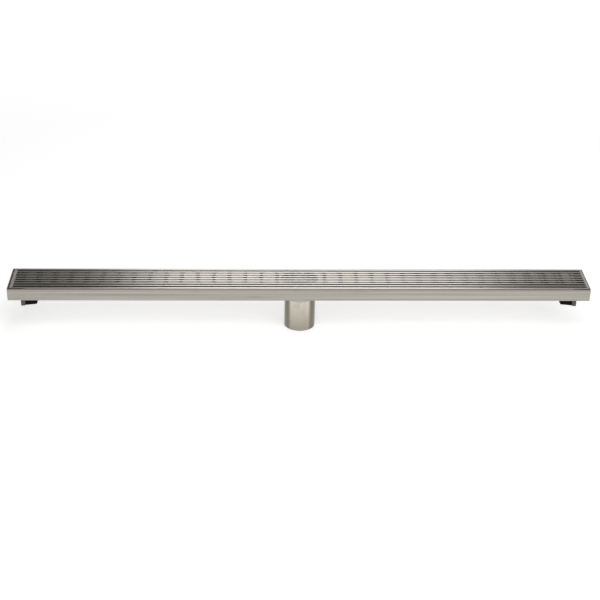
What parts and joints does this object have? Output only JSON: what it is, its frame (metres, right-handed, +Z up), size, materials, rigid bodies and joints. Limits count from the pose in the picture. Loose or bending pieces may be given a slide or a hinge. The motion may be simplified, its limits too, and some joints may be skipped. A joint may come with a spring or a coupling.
{
  "type": "linear shower drain",
  "caption": "Long narrow stainless channel drain with a loose wedge-wire grate, a hair strainer, short padded feet and a central round outlet pipe below.",
  "frame": {"origin": "middle of the outlet pipe's lower end, which is the lowest point and the middle of the plan", "axes": "+X along the channel, +Y across it to the rear, +Z up through the grate"},
  "size_m": [0.9144, 0.071, 0.081],
  "materials": {
    "tray_steel": "brushed lengthwise, warm grey",
    "pipe_steel": "satin, drawn tube",
    "strainer_steel": "plain mill finish",
    "rod_steel": "drawn wire, pickled",
    "frame_steel": "brushed along each side",
    "wire_steel": "brushed lengthwise on top",
    "bracket_steel": "plain folded sheet, dull",
    "pad_rubber": "black moulded rubber"
  },
  "bodies": {
    "root": {"tray_floor": "tray_steel", "tray_front_wall": "tray_steel", "tray_rear_wall": "tray_steel", "tray_left_wall": "tray_steel", "tray_right_wall": "tray_steel", "outlet_neck": "tray_steel", "outlet_pipe": "pipe_steel", "hair_strainer": "strainer_steel", "cross_rods": "rod_steel", "front_rail": "frame_steel", "rear_rail": "frame_steel", "left_end_strip": "frame_steel", "right_end_strip": "frame_steel", "front_skirt": "frame_steel", "rear_skirt": "frame_steel", "left_skirt": "frame_steel", "right_skirt": "frame_steel", "grate_wire_1": "wire_steel", "grate_wire_2": "wire_steel", "grate_wire_3": "wire_steel", "grate_wire_4": "wire_steel", "grate_wire_5": "wire_steel", "grate_wire_6": "wire_steel", "grate_wire_7": "wire_steel", "foot_bracket_front_left": "bracket_steel", "foot_bracket_front_right": "bracket_steel", "foot_bracket_rear_left": "bracket_steel", "foot_bracket_rear_right": "bracket_steel", "foot_pad_front_left": "pad_rubber", "foot_pad_front_right": "pad_rubber", "foot_pad_rear_left": "pad_rubber", "foot_pad_rear_right": "pad_rubber"}
  },
  "joints": []
}
